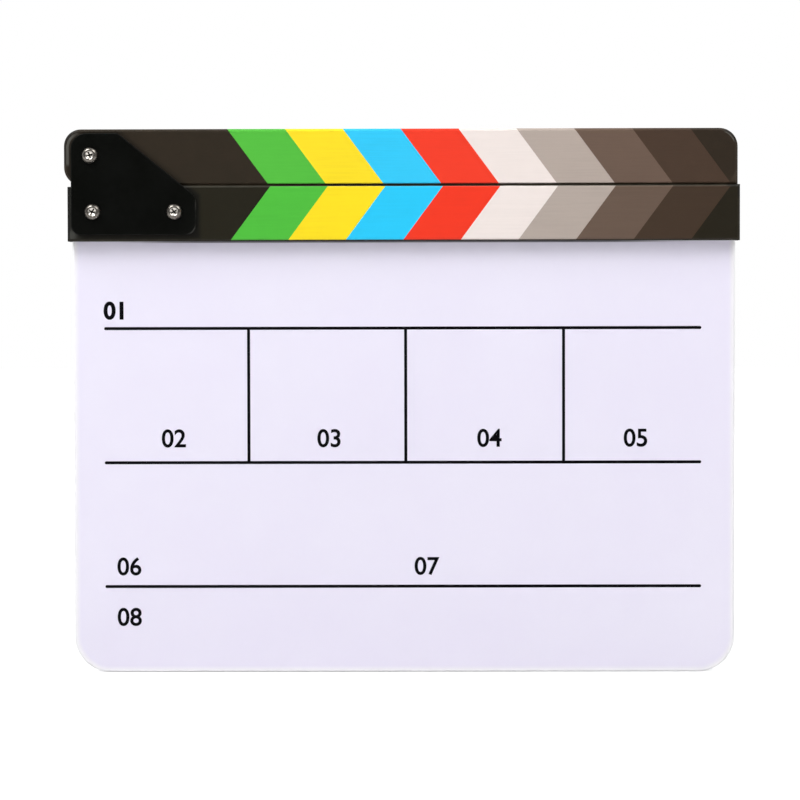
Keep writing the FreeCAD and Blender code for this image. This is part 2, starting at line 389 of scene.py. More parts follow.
class Surface(NodeSheet):
    """The sheet of a finish, with the object coordinates and the shared groups at hand."""

    def __init__(self, tree: Tree, effects: Effects) -> None:
        """Take over the node tree of a material.

        Args:
            tree: The node tree.
            effects: The shared groups.
        """
        super().__init__(tree)
        self.effects = effects
        self.place = self.add("ShaderNodeTexCoord", {})["Object"]

    def group(self, tree: Tree, **sources: Source) -> Outputs:
        """Put in a shared group with its own values."""
        return self.add("ShaderNodeGroup", {"Vector": self.place, **sources}, node_tree=tree)

    def cloud(self, size: float) -> Socket:
        """Put out soft blotches of the given size."""
        return self.group(self.effects.cloud, Size=size)["Value"]

    def grain(self, length: float, width: float) -> Socket:
        """Put out streaks of the given length and width."""
        return self.group(self.effects.grain, Length=length, Width=width)["Value"]

    def hairlines(self, spacing: float) -> Socket:
        """Put out fine scratches of the given spacing."""
        return self.group(self.effects.hairlines, Spacing=spacing)["Mask"]

    def edge(self, outline: Outline, reach: float) -> tuple[Socket, Socket]:
        """Put out how far a point lies inside an outline, and how worn its edge is.

        Args:
            outline: The outline.
            reach: How far in from it the worn edge fades.

        Returns:
            The distance and the rub.
        """
        sizes = {"Centre": outline.centre, "Half": outline.half, "Corner": outline.corner}
        edge = self.group(self.effects.edge, Reach=reach, **sizes)
        return edge["Distance"], edge["Rub"]


@dataclass(frozen=True)
class PlateShape:
    """The five-sided front of a hinge plate: its box, cut by a slope from the top edge to the free side."""

    outline: Outline
    top_width: float = 21.0 * MM
    side_height: float = 17.0 * MM

    def beyond(self, sheet: Surface, x: Socket, z: Socket) -> Socket:
        """Work out how far a point lies outside the plate: the largest distance past a side or the slope.

        Args:
            sheet: The material's sheet.
            x, z: The point.

        Returns:
            The distance, below 0 under the plate.
        """
        left, _, foot = self.outline.low
        right, _, top = self.outline.high
        tip = Vector((left + self.top_width, top))
        shoulder = Vector((right, foot + self.side_height))
        outward = Vector((tip.y - shoulder.y, shoulder.x - tip.x)).normalized()
        climb = sheet.plus(sheet.times(x, outward.x), sheet.times(z, outward.y))
        gaps = ((climb, outward.dot(tip)), (left, x), (x, right), (foot, z), (z, top))
        return sheet.math("MAXIMUM", *(sheet.minus(*gap) for gap in gaps))


@dataclass(frozen=True)
class Finish(ABC):
    """What every finish has: a name and a Principled shader that its own nodes feed."""

    name: str

    def material(self, effects: Effects) -> Material:
        """Build the material.

        Args:
            effects: The shared groups.

        Returns:
            The material.
        """
        material = bpy.data.materials.new(self.name)
        material.use_nodes = True
        sheet = Surface(material.node_tree, effects)
        sheet.feed(material.node_tree.nodes["Principled BSDF"].inputs, self._feeds(sheet))
        return material

    @abstractmethod
    def _feeds(self, sheet: Surface) -> Feeds:
        """Work out what feeds the shader.

        Args:
            sheet: The material's sheet.

        Returns:
            The sources, by the names of the shader's inputs.
        """


@dataclass(frozen=True)
class MilkyAcrylic(Finish):
    """Gloss white acrylic: a faint cloud in the sheet, wiping haze, hairlines and a painted glow along the
    cut edge.

    The seam along the foot of the lower stick is darkened, most of it in the middle: soiling in the joint
    and a painted contact shadow.
    """

    outline: Outline
    seam: float
    colour: Colour = display(241, 236, 254)
    cloudy: Colour = display(243, 239, 255)
    # Painted glow of the cut edge.
    painted_edge_glow: Colour = display(254, 253, 255)
    # Seam colour: soiling with a painted contact shadow.
    seam_dirt_and_shadow: Colour = display(58, 52, 60)
    cloud_size: float = 80.0 * MM
    haze_length: float = 70.0 * MM
    haze_width: float = 9.0 * MM
    hairline_spacing: float = 0.5 * MM
    cut_reach: float = 3.4 * MM
    seam_drop: Range = (0.9 * MM, 0.35 * MM)
    seam_run: Range = (135.0 * MM, 90.0 * MM)
    seam_share: float = 0.85
    rough: Range = (0.10, 0.17)
    hairline_rough: float = 0.06
    cut_rough: float = 0.2
    refraction: float = 1.49
    wave_scale: float = 45.0
    hairline_depth: float = 0.05
    relief: float = 0.02 * MM

    def _feeds(self, sheet: Surface) -> Feeds:
        """Work out what feeds the shader.

        Args:
            sheet: The material's sheet.

        Returns:
            The sources, by the names of the shader's inputs.
        """
        body = sheet.blend(sheet.cloud(self.cloud_size), self.colour, self.cloudy)
        haze = sheet.between(sheet.grain(self.haze_length, self.haze_width), *self.rough)
        lines = sheet.hairlines(self.hairline_spacing)
        # A painted glow along the cut edge; the same band also roughens the edge.
        distance, _ = sheet.edge(self.outline, self.cut_reach)
        cut = sheet.rise(distance, self.cut_reach, 0.0)
        x, _, z = sheet.split(sheet.place)
        # The seam under the lower stick darkens: soiling and a painted contact shadow.
        below = sheet.rise(sheet.minus(self.seam, z), *self.seam_drop)
        along = sheet.rise(sheet.math("ABSOLUTE", x), *self.seam_run)
        painted_shade = sheet.times(below, along, self.seam_share)
        waves = sheet.noise(sheet.place, self.wave_scale, detail=1.0)
        height = sheet.minus(waves, sheet.times(lines, self.hairline_depth))
        scratched = sheet.times(lines, self.hairline_rough)
        sawn = sheet.times(cut, self.cut_rough)
        return {
            "Base Color": sheet.blend(painted_shade, sheet.blend(cut, body, self.painted_edge_glow), self.seam_dirt_and_shadow),
            "Roughness": sheet.plus(haze, scratched, sawn),
            "IOR": self.refraction,
            "Normal": sheet.bump(height, self.relief),
        }


@dataclass(frozen=True)
class Stick:
    """One stick: its node, corner radius, stripes at the clap line, soiling, and painted sheen, shadow and
    highlights.
    """

    node: str
    corner: float
    first_stripe: float
    pitch: float
    veil: float
    grime_and_shadow: float
    end_highlight: float
    patch_highlight: float
    nose_highlight: float


@dataclass(frozen=True)
class StripedPaint(Finish):
    """Satin paint on wood: black all round, with slanted stripes on the front that meet at the clap line.

    The stripes stop short of the clap line and of the lower stick's foot, where the arrises stay black:
    painted shade on arrises that face down or into the clap line. Soiling and a painted contact shadow
    darken the paint round the hinge plate, and painted shade darkens the outer arrises at both ends. Painted
    highlights lighten a line inside the outline at both ends of the sticks, a patch beside the plate's lower
    corner and the lower clapping arris. A pale veil of soiling and painted sheen lies on the upper stick. A
    reach, rise or fall gives where a mark starts and where it is full.
    """

    stick: Stick
    outline: Outline
    plate: PlateShape
    clap_height: float
    foot: float
    end_foot: float
    slant: float = 0.74
    wrap: float = 1.1 * MM
    # Black bands at the clap line and the foot: painted shade on arrises that face down or into the clap
    # line.
    shaded_clap_band: float = 0.62 * MM
    shaded_foot_band: float = 0.55 * MM
    # Colour of a pale veil: soiling and painted sheen.
    dust_and_sheen: Colour = display(208, 160, 146)
    undercoat: Colour = display(120, 106, 88)
    # Colour of the painted highlights.
    wear_and_highlight: Colour = display(142, 142, 136)
    grain_length: float = 22.0 * MM
    grain_width: float = 0.7 * MM
    cloud_size: float = 30.0 * MM
    shade: Range = (1.0, 0.94)
    veil_spread: Range = (1.2, 0.8)
    edge_reach: float = 1.3 * MM
    edge_rub: float = 0.12
    # Reach of the soiling and painted contact shadow round the plate.
    grime_shadow_reach: Range = (2.8 * MM, 0.4 * MM)
    line_rise: Range = (0.9 * MM, 1.3 * MM)
    # Painted shade on the ends' outer arrises.
    arris_shade: float = 0.6
    end_reach: Range = (8.0 * MM, 3.0 * MM)
    end_fade: float = 2.0 * MM
    end_fall: Range = (2.6 * MM, 2.0 * MM)
    nose_reach: Range = (6.8 * MM, 4.8 * MM)
    nose_fall: Range = (1.7 * MM, 1.4 * MM)
    patch_reach: Range = (4.2 * MM, 1.0 * MM)
    patch_side: Range = (1.2 * MM, 0.4 * MM)
    clap_rise: Range = (0.1 * MM, 0.5 * MM)
    clap_fall: Range = (1.3 * MM, 0.8 * MM)
    # Painted highlight on the lower clapping arris.
    clap_highlight: float = 0.08
    rough: Range = (0.34, 0.42)
    grain_rough: float = 0.05
    specular: float = 0.18
    peel_scale: float = 1400.0
    peel_share: float = 0.4
    relief: float = 0.02 * MM

    def _stripes(self, sheet: Surface, x: Socket, from_clap: Socket) -> Socket:
        """Work out the stripe's colour: each takes over where x + slant * |z - clap height| passes its edge.

        Args:
            sheet: The material's sheet.
            x: The point's place along the stick.
            from_clap: How far it lies above or below the clap line.

        Returns:
            The colour.
        """
        along = sheet.plus(x, sheet.times(from_clap, self.slant))
        colour, *others = (stripe.value for stripe in Stripe)
        for number, following in enumerate(others):
            past = sheet.math("GREATER_THAN", along, self.stick.first_stripe + number * self.stick.pitch)
            colour = sheet.blend(past, colour, following)
        return colour

    def _patch(self, sheet: Surface, x: Socket, z: Socket) -> Socket:
        """Mark the painted highlight beside the plate's lower corner: it fades with the distance and to the
        hinge end.

        Args:
            sheet: The material's sheet.
            x, z: The point.

        Returns:
            The mask.
        """
        corner_x, _, corner_z = self.plate.outline.low
        gap = sheet.length(sheet.join(sheet.minus(x, corner_x), 0.0, sheet.minus(z, corner_z)))
        side = sheet.rise(x, *(corner_x - side for side in self.patch_side))
        return sheet.times(sheet.rise(gap, *self.patch_reach), side)

    def _grime_and_painted_light(self, sheet: Surface, x: Socket, z: Socket, distance: Socket, paint: Socket) -> Socket:
        """Darken the paint round the plate with soiling and a painted contact shadow, and on the ends' outer
        arrises with painted shade, then lighten it with painted highlights.

        Args:
            sheet: The material's sheet.
            x, z: The point.
            distance: How far the point lies inside the stick's outline.
            paint: The paint so far.

        Returns:
            The paint with its soiling and painted light.
        """
        left, (right, _, top) = self.outline.low[0], self.outline.high
        end_x = sheet.rise(x, *(left + reach for reach in self.end_reach))
        at_end = sheet.times(end_x, sheet.rise(z, self.end_foot, self.end_foot + self.end_fade))
        nose_x = sheet.rise(x, *(right - reach for reach in self.nose_reach))
        nose_z = sheet.rise(z, *(top - reach for reach in self.nose_reach))
        at_nose = sheet.times(nose_x, nose_z)
        # Soiling and a painted contact shadow round the plate.
        grime_and_shadow = sheet.rise(self.plate.beyond(sheet, x, z), *self.grime_shadow_reach)
        grimy_shaded = sheet.blend(sheet.times(grime_and_shadow, self.stick.grime_and_shadow), paint, PURE_BLACK)
        # Painted shade on the outer arrises at both ends.
        outer = sheet.rise(distance, *reversed(self.line_rise))
        arris = sheet.times(outer, sheet.plus(at_end, at_nose), self.arris_shade)
        inner = sheet.rise(distance, *self.line_rise)
        drop = sheet.minus(self.clap_height, z)
        # Painted highlights: a line inside the outline at both ends, a patch beside the plate's corner and
        # the lower clapping arris.
        painted_highlights = (
            (inner, at_end, sheet.rise(distance, *self.end_fall), self.stick.end_highlight),
            (inner, at_nose, sheet.rise(distance, *self.nose_fall), self.stick.nose_highlight),
            (inner, self._patch(sheet, x, z), self.stick.patch_highlight),
            (sheet.rise(drop, *self.clap_rise), sheet.rise(drop, *self.clap_fall), self.clap_highlight),
        )
        wear_and_highlight_share = sheet.math("MAXIMUM", *(sheet.times(*parts) for parts in painted_highlights))
        return sheet.blend(wear_and_highlight_share, sheet.blend(arris, grimy_shaded, PURE_BLACK), self.wear_and_highlight)

    def _feeds(self, sheet: Surface) -> Feeds:
        """Work out what feeds the shader.

        Args:
            sheet: The material's sheet.

        Returns:
            The sources, by the names of the shader's inputs.
        """
        x, y, z = sheet.split(sheet.place)
        from_clap = sheet.math("ABSOLUTE", sheet.minus(z, self.clap_height))
        # The stripes leave black bands at the clap line and the foot as painted shade.
        on_front = sheet.times(
            sheet.math("LESS_THAN", y, self.outline.low[1] + self.wrap),
            sheet.math("GREATER_THAN", from_clap, self.shaded_clap_band),
            sheet.math("GREATER_THAN", z, self.foot + self.shaded_foot_band),
        )
        paint = sheet.blend(on_front, Stripe.BLACK.value, self._stripes(sheet, x, from_clap))
        grain = sheet.grain(self.grain_length, self.grain_width)
        cloud = sheet.cloud(self.cloud_size)
        distance, edge = sheet.edge(self.outline, self.edge_reach)
        toned = sheet.scaled(paint, sheet.between(sheet.times(grain, cloud), *self.shade))
        # A pale veil of soiling and painted sheen, on the upper stick.
        veil = sheet.between(cloud, *(self.stick.veil * spread for spread in self.veil_spread))
        veiled = sheet.blend(veil, toned, self.dust_and_sheen)
        scuffed = sheet.blend(sheet.times(edge, self.edge_rub), veiled, self.undercoat)
        peel = sheet.noise(sheet.place, self.peel_scale, detail=1.0)
        streaks = sheet.between(grain, 0.0, self.grain_rough)
        return {
            "Base Color": self._grime_and_painted_light(sheet, x, z, distance, scuffed),
            "Roughness": sheet.plus(sheet.between(cloud, *self.rough), streaks),
            "Specular IOR Level": self.specular,
            "Normal": sheet.bump(sheet.mix(self.peel_share, grain, peel), self.relief),
        }


@dataclass(frozen=True)
class CoatedSteel(Finish):
    """Black coating on steel: a pebbled skin, fingertip dulling, and worn edges with a painted highlight,
    most on the free side.
    """

    outline: Outline
    colour: Colour = display(2, 3, 1)
    dulled: Colour = display(6, 7, 5)
    # Edges worn and lightened by a painted highlight.
    wear_and_highlight: Colour = display(84, 84, 80)
    cloud_size: float = 16.0 * MM
    hairline_spacing: float = 0.3 * MM
    edge_reach: float = 0.6 * MM
    edge_rub: Range = (0.1, 0.75)
    free_side: Range = (0.8, 1.0)
    rough: Range = (0.42, 0.52)
    hairline_rough: float = 0.1
    specular: float = 0.07
    pebble_scale: float = 2600.0
    relief: float = 0.015 * MM

    def _feeds(self, sheet: Surface) -> Feeds:
        """Work out what feeds the shader.

        Args:
            sheet: The material's sheet.

        Returns:
            The sources, by the names of the shader's inputs.
        """
        cloud = sheet.cloud(self.cloud_size)
        scratched = sheet.times(sheet.hairlines(self.hairline_spacing), self.hairline_rough)
        _, edge = sheet.edge(self.outline, self.edge_reach)
        middle, half = self.outline.centre[0], self.outline.half[0]
        free = sheet.rise(sheet.split(sheet.place)[0], *(middle + share * half for share in self.free_side))
        # Edge wear with a painted highlight, strongest on the free side.
        wear_and_highlight_share = sheet.times(edge, sheet.between(free, *self.edge_rub))
        pebbles = sheet.noise(sheet.place, self.pebble_scale, detail=2.0)
        return {
            "Base Color": sheet.blend(wear_and_highlight_share, sheet.blend(cloud, self.colour, self.dulled), self.wear_and_highlight),
            "Roughness": sheet.plus(sheet.between(cloud, *self.rough), scratched),
            "Specular IOR Level": self.specular,
            "Normal": sheet.bump(pebbles, self.relief),
        }


@dataclass(frozen=True)
class PlatedMetal(Finish):
    """Bare or plated metal: fine scratches, cloudy tarnish, a painted highlight on the walls of a driver
    recess and painted shade at its bottom.

    The recess is the share of its depth that a turned screw keeps on its points; elsewhere it is 0.
    """

    bright: Colour
    tarnish: Colour
    rough: Range = (0.18, 0.34)
    # Painted highlight on the recess walls.
    painted_wall_highlight: Colour = display(232, 227, 218)
    # Painted shade at the bottom of the recess.
    painted_shade: Colour = display(34, 30, 27)
    cloud_size: float = 2.5 * MM
    hairline_spacing: float = 0.09 * MM
    highlight_rise: Range = (0.02, 0.14)
    shade_rise: Range = (0.38, 0.62)
    shade_share: float = 0.93
    recess_rough: float = 0.3
    hairline_rough: float = 0.15
    relief: float = 0.004 * MM

    def _feeds(self, sheet: Surface) -> Feeds:
        """Work out what feeds the shader.

        Args:
            sheet: The material's sheet.

        Returns:
            The sources, by the names of the shader's inputs.
        """
        cloud = sheet.cloud(self.cloud_size)
        lines = sheet.hairlines(self.hairline_spacing)
        recess = sheet.add("ShaderNodeAttribute", {}, attribute_name="recess")["Fac"]
        # Painted shade deep in the recess.
        recess_shade = sheet.times(sheet.rise(recess, *self.shade_rise), self.shade_share)
        worn = sheet.blend(cloud, self.bright, self.tarnish)
        # Painted highlight on the recess walls.
        body = sheet.blend(sheet.rise(recess, *self.highlight_rise), worn, self.painted_wall_highlight)
        scratched = sheet.times(lines, self.hairline_rough)
        roughened = sheet.times(recess_shade, self.recess_rough)
        return {
            "Base Color": sheet.blend(recess_shade, body, self.painted_shade),
            "Metallic": 1.0,
            "Roughness": sheet.plus(sheet.between(cloud, *self.rough), scratched, roughened),
            "Normal": sheet.bump(sheet.times(lines, -1.0), self.relief),
        }


@dataclass(frozen=True)
class NaturalNylon(Finish):
    """Unpigmented nylon: waxy, slightly yellow, with faint flow marks."""

    colour: Colour = display(222, 219, 208)
    yellowed: Colour = display(208, 203, 186)
    cloud_size: float = 3.0 * MM
    flow_scale: float = 900.0
    rough: Range = (0.4, 0.58)
    translucence: float = 0.15
    translucent_reach: float = 1.0 * MM
    relief: float = 0.005 * MM

    def _feeds(self, sheet: Surface) -> Feeds:
        """Work out what feeds the shader.

        Args:
            sheet: The material's sheet.

        Returns:
            The sources, by the names of the shader's inputs.
        """
        flow = sheet.noise(sheet.place, self.flow_scale, detail=2.0)
        return {
            "Base Color": sheet.blend(sheet.cloud(self.cloud_size), self.colour, self.yellowed),
            "Roughness": sheet.between(flow, *self.rough),
            "Subsurface Weight": self.translucence,
            "Subsurface Scale": self.translucent_reach,
            "Normal": sheet.bump(flow, self.relief),
        }


@dataclass(frozen=True)
class PrintInk(Finish):
    """Screen-printed black ink: a thin film with pin-head thin spots and a faint mesh."""

    colour: Colour = display(4, 3, 7)
    thin: Colour = display(12, 10, 16)
    cloud_size: float = 1.6 * MM
    thin_rise: Range = (0.55, 1.0)
    rough: Range = (0.35, 0.5)
    specular: float = 0.06
    mesh_scale: float = 5000.0
    relief: float = 0.004 * MM

    def _feeds(self, sheet: Surface) -> Feeds:
        """Work out what feeds the shader.

        Args:
            sheet: The material's sheet.

        Returns:
            The sources, by the names of the shader's inputs.
        """
        cloud = sheet.cloud(self.cloud_size)
        return {
            "Base Color": sheet.blend(sheet.rise(cloud, *self.thin_rise), self.colour, self.thin),
            "Roughness": sheet.between(cloud, *self.rough),
            "Specular IOR Level": self.specular,
            "Normal": sheet.bump(sheet.noise(sheet.place, self.mesh_scale, detail=1.0), self.relief),
        }


@dataclass(frozen=True)
class PaleFloor(Finish):
    """A matt floor that throws light back and glows for the camera.

    The light thrown back is faint: it reaches the object and shows in gloss. The camera sees the floor run
    into the white surround. Both are weaker close to the object, so that the floor takes its shadow.
    """

    colour: Colour = display(220, 220, 220)
    rough: float = 0.9
    light: float = 0.24
    light_rise: Range = (0.08, 0.5)
    glow: float = 0.5
    glow_rise: Range = (0.35, 1.6)

    def _feeds(self, sheet: Surface) -> Feeds:
        """Work out what feeds the shader.

        Args:
            sheet: The material's sheet.

        Returns:
            The sources, by the names of the shader's inputs.
        """
        away = sheet.length(sheet.place)
        light = sheet.between(sheet.rise(away, *self.light_rise), 0.0, self.light)
        glow = sheet.between(sheet.rise(away, *self.glow_rise), self.glow, 1.0)
        return {
            "Base Color": self.colour,
            "Roughness": self.rough,
            "Specular IOR Level": 0.0,
            "Emission Color": PURE_WHITE,
            "Emission Strength": sheet.by_ray(light, light, glow),
        }


INK = PrintInk("print_ink")
MAGNET_NICKEL = PlatedMetal("magnet_nickel", display(205, 204, 200), display(178, 176, 172))
SCREW_NICKEL = PlatedMetal("screw_nickel", display(136, 131, 124), display(112, 107, 101))
ZINC = PlatedMetal("zinc_plate", display(204, 206, 209), display(176, 179, 184), rough=(0.3, 0.45))
BRASS = PlatedMetal("turned_brass", display(221, 190, 120), display(190, 152, 84), rough=(0.18, 0.4))
NYLON = NaturalNylon("natural_nylon")


def link(name: str, data: bpy.types.ID) -> Piece:
    """Put a mesh, a lamp or a camera into the scene.

    Args:
        name: The object's name.
        data: What it holds.

    Returns:
        The object, at the origin.
    """
    holder = bpy.data.objects.new(name, data)
    bpy.context.scene.collection.objects.link(holder)
    return holder


def ring_quads(count: int, around: int) -> NDArray[np.int64]:
    """Join rings of points: quad (i, j) joins points j and j + 1 of rings i and i + 1, and j wraps round.

    Args:
        count: The number of rings.
        around: The number of points in a ring.

    Returns:
        The numbers of each quad's points, of shape (quads, 4).
    """
    row = np.arange(count - 1)[:, None] * around
    here = np.arange(around)
    after = np.roll(here, -1)
    corners = [row + here, row + after, row + around + after, row + around + here]
    return np.stack(corners, axis=-1).reshape(-1, 4)


def skin(name: str, rings: Array, sharp: float) -> Piece:
    """Skin a tube whose rings are the rows of a grid and close each end on the middle of its ring.

    The faces are turned outwards if the volume, the sum of a . (b x c) / 6 over the triangles, is below 0.

    Args:
        name: The piece's name.
        rings: Points of shape (rings, around, 3).
        sharp: Edges that bend by more than this angle stay sharp.

    Returns:
        The new object.
    """
    count, around = rings.shape[:2]
    points = np.concatenate([rings.reshape(-1, 3), rings[:1].mean(axis=1), rings[-1:].mean(axis=1)])
    quads = ring_quads(count, around)
    here = np.arange(around)
    after = np.roll(here, -1)
    last = (count - 1) * around
    start_fan = np.stack([np.full(around, count * around), after, here], axis=-1)
    end_fan = np.stack([np.full(around, count * around + 1), last + here, last + after], axis=-1)
    triangles = np.concatenate([quads[:, [0, 1, 2]], quads[:, [0, 2, 3]], start_fan, end_fan])
    a, b, c = (points[triangles[:, k]] for k in range(3))
    turn = 1 if np.einsum("ij,ij->", a, np.cross(b, c)) > 0 else -1
    faces = [face for part in (quads, start_fan, end_fan) for face in part[:, ::turn].tolist()]
    mesh = bpy.data.meshes.new(name)
    mesh.from_pydata(points.tolist(), [], faces)
    mesh.shade_smooth()
    mesh.set_sharp_from_angle(angle=sharp)
    return link(name, mesh)


def settle(piece: Piece, body: str, material: Material) -> None:
    """Give a new piece its finish, let it ride on its body and report it.

    Args:
        piece: The new piece.
        body: The body that carries it.
        material: Its finish.
    """
    piece.data.materials.clear()
    piece.data.materials.append(material)
    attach(piece, body)
    LOG.info("%s rides on %s in %s", piece.name, body, material.name)


def coat(material: Material, *nodes: str) -> None:
    """Give CAD nodes their finish and report them.

    Args:
        material: The finish.
        nodes: The names of the nodes.
    """
    for node in nodes:
        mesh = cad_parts[node].data
        mesh.materials.clear()
        mesh.materials.append(material)
        LOG.info("%s is dressed in %s", node, material.name)


@dataclass(frozen=True)
class Label:
    """A printed numeral: what it says, where its foot stands on the sheet and how it is set."""

    text: str
    x: float
    z: float
    anchor: Anchor = Anchor.LEFT
    weight: Weight = Weight.PLAIN


@dataclass
class Slate:
    """The white sheet with its ruled print."""

    node: str = "slate_board"
    body: str = "slate"
    carrier: str = "lower_stick"
    corner: float = 16.5 * MM
    line: float = 1.36 * MM
    film: float = 0.05 * MM
    sunk: float = 0.01 * MM
    crown: float = 0.4
    cap_rings: int = 8
    run_rings: int = 40
    around: int = 24
    sharp: float = math.radians(70)
    rule_left: float = -134.3 * MM
    rule_right: float = 133.2 * MM
    rules: tuple[float, ...] = (154.56 * MM, 94.37 * MM, 38.68 * MM)
    dividers: tuple[float, ...] = (-69.55 * MM, 0.81 * MM, 71.53 * MM)
    numeral: float = 8.2 * MM
    curve_steps: int = 16
    weld: float = 1e-5
    labels: tuple[Label, ...] = (
        Label("01", -134.5 * MM, 158.5 * MM, weight=Weight.BOLD),
        Label("02", -103.2 * MM, 101.15 * MM, Anchor.MIDDLE),
        Label("03", -33.4 * MM, 101.15 * MM, Anchor.MIDDLE),
        Label("04", 38.3 * MM, 101.15 * MM, Anchor.MIDDLE),
        Label("05", 103.9 * MM, 101.15 * MM, Anchor.MIDDLE),
        Label("06", -128.85 * MM, 43.65 * MM),
        Label("07", 4.65 * MM, 43.65 * MM),
        Label("08", -128.85 * MM, 20.9 * MM),
    )
    pieces: list[Piece] = field(default_factory=list)

    def _face(self) -> float:
        """Give the place of the sheet's front face along Y."""
        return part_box(self.node)[0].y

    def _stroke(self, name: str, start: Range, end: Range) -> Piece:
        """Make a printed line as a low, round-ended ribbon.

        Along the line the half width is w(s) = sqrt(h^2 - e^2), where e is how far s reaches into the round
        end and h is half the line. Round the section the point is (w cos a, film * |sin a|^crown) above the
        sheet and slightly sunk below it.

        Args:
            name: The piece's name.
            start, end: The line's two ends on the sheet, as x and z.

        Returns:
            The ribbon.
        """
        first, last = np.array(start), np.array(end)
        length = float(np.linalg.norm(last - first))
        along = (last - first) / length
        across = np.array([-along[1], along[0]])
        half = self.line / 2
        cap = half * np.sin(np.linspace(0, math.pi / 2, self.cap_rings, endpoint=False))
        run = np.linspace(half, length - half, self.run_rings)[1:-1]
        station = np.concatenate([half - cap[::-1], run, length - half + cap])
        reach = np.maximum(np.maximum(half - station, station - length + half), 0)
        width = np.sqrt(np.maximum(half**2 - reach**2, 0))
        angle = np.linspace(0, 2 * math.pi, self.around, endpoint=False)
        lift = np.sign(np.sin(angle)) * np.abs(np.sin(angle)) ** self.crown
        height = np.where(lift > 0, lift * self.film, lift * self.sunk)
        flat = first + station[:, None, None] * along + (width[:, None] * np.cos(angle))[..., None] * across
        depth = self._face() - np.broadcast_to(height, flat.shape[:2])
        return skin(name, np.stack([flat[..., 0], depth, flat[..., 1]], axis=-1), self.sharp)

    def _close(self, mesh: bpy.types.Mesh) -> None:
        """Merge a mesh's doubles, drop its faces without area and turn its faces outwards.

        Args:
            mesh: The mesh.
        """
        film = bmesh.new()
        film.from_mesh(mesh)
        bmesh.ops.remove_doubles(film, verts=film.verts, dist=self.weld)
        bmesh.ops.dissolve_degenerate(film, edges=film.edges, dist=self.weld)
        bmesh.ops.recalc_face_normals(film, faces=film.faces)
        film.to_mesh(mesh)
        film.free()

    def _numeral(self, name: str, label: Label) -> Piece:
        """Make a printed numeral from the plain built-in letterforms, as a thin closed film.

        The flat letters are measured first: their height, foot and left edge scale and place the film.

        Args:
            name: The piece's name.
            label: The numeral and its place.

        Returns:
            The film as a mesh in its place.
        """
        curve = bpy.data.curves.new(name, "FONT")
        curve.body = label.text
        curve.align_x = label.anchor.value
        curve.offset = label.weight.value
        curve.resolution_u = self.curve_steps
        letters = bpy.data.objects.new(name, curve)
        flat = bpy.data.meshes.new_from_object(letters)
        outline = np.empty(len(flat.vertices) * 3)
        flat.vertices.foreach_get("co", outline)
        bpy.data.meshes.remove(flat)
        left = outline[0::3].min() if label.anchor is Anchor.LEFT else 0.0
        foot = outline[1::3].min()
        scale = self.numeral / np.ptp(outline[1::3])
        curve.extrude = (self.film + self.sunk) / 2 / scale
        mesh = bpy.data.meshes.new_from_object(letters)
        bpy.data.objects.remove(letters)
        self._close(mesh)
        middle = self._face() - (self.film - self.sunk) / 2
        mesh.transform(
            Matrix.Translation((label.x, middle, label.z))
            @ Matrix.Rotation(math.pi / 2, 4, "X")
            @ Matrix.Scale(scale, 4)
            @ Matrix.Translation((-left, -foot, 0))
        )
        mesh.name = name
        return link(name, mesh)

    def build(self) -> None:
        """Make the rules, the dividers between the upper two rules and the numerals."""
        for number, height in enumerate(self.rules, 1):
            ends = (self.rule_left, height), (self.rule_right, height)
            self.pieces.append(self._stroke(f"printed_rule_{number}", *ends))
        for number, x in enumerate(self.dividers, 1):
            ends = (x, self.rules[1]), (x, self.rules[0])
            self.pieces.append(self._stroke(f"printed_divider_{number}", *ends))
        for number, label in enumerate(self.labels, 1):
            self.pieces.append(self._numeral(f"printed_numeral_{number}", label))

    def dress(self, effects: Effects) -> None:
        """Finish the sheet and the print.

        Args:
            effects: The shared groups.
        """
        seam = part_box(self.carrier)[0].z
        acrylic = MilkyAcrylic("milky_acrylic", Outline.of(self.node, self.corner), seam)
        coat(acrylic.material(effects), self.node)
        ink = INK.material(effects)
        for piece in self.pieces:
            settle(piece, self.body, ink)


@dataclass
class Sticks:
    """The two striped sticks and the magnets in their clapping faces."""

    # Each stick's veil is soiling and painted sheen, its soiling round the plate carries a painted shadow,
    # and its end, patch and nose values are painted highlights.
    lower: Stick = Stick("lower_stick", corner=0.5 * MM, first_stripe=-58.96 * MM, pitch=25.67 * MM,
                         veil=0.0, grime_and_shadow=0.75, end_highlight=0.08, patch_highlight=0.2, nose_highlight=0.0)
    upper: Stick = Stick("upper_stick", corner=8.2 * MM, first_stripe=-60.08 * MM, pitch=25.78 * MM,
                         veil=0.02, grime_and_shadow=0.3, end_highlight=0.27, patch_highlight=0.0, nose_highlight=0.3)
    heel_corner: float = 8.0 * MM
    magnets: tuple[str, ...] = ("lower_magnet", "upper_magnet")
    plate: str = "front_hinge_plate"
    plate_corner: float = 5.0 * MM

    def build(self) -> None:
        """Leave the shapes to the solids, which are right."""
        LOG.info("sticks keep their solids")

    def dress(self, effects: Effects) -> None:
        """Paint the sticks and plate the magnets.

        Args:
            effects: The shared groups.
        """
        foot, clap_height = (corner.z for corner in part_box(self.lower.node))
        plate = PlateShape(Outline.of(self.plate, self.plate_corner))
        for stick, end_foot in ((self.lower, foot), (self.upper, clap_height + self.heel_corner)):
            outline = Outline.of(stick.node, stick.corner)
            paint = StripedPaint(f"{stick.node}_paint", stick, outline, plate, clap_height, foot, end_foot)
            coat(paint.material(effects), stick.node)
        coat(MAGNET_NICKEL.material(effects), *self.magnets)


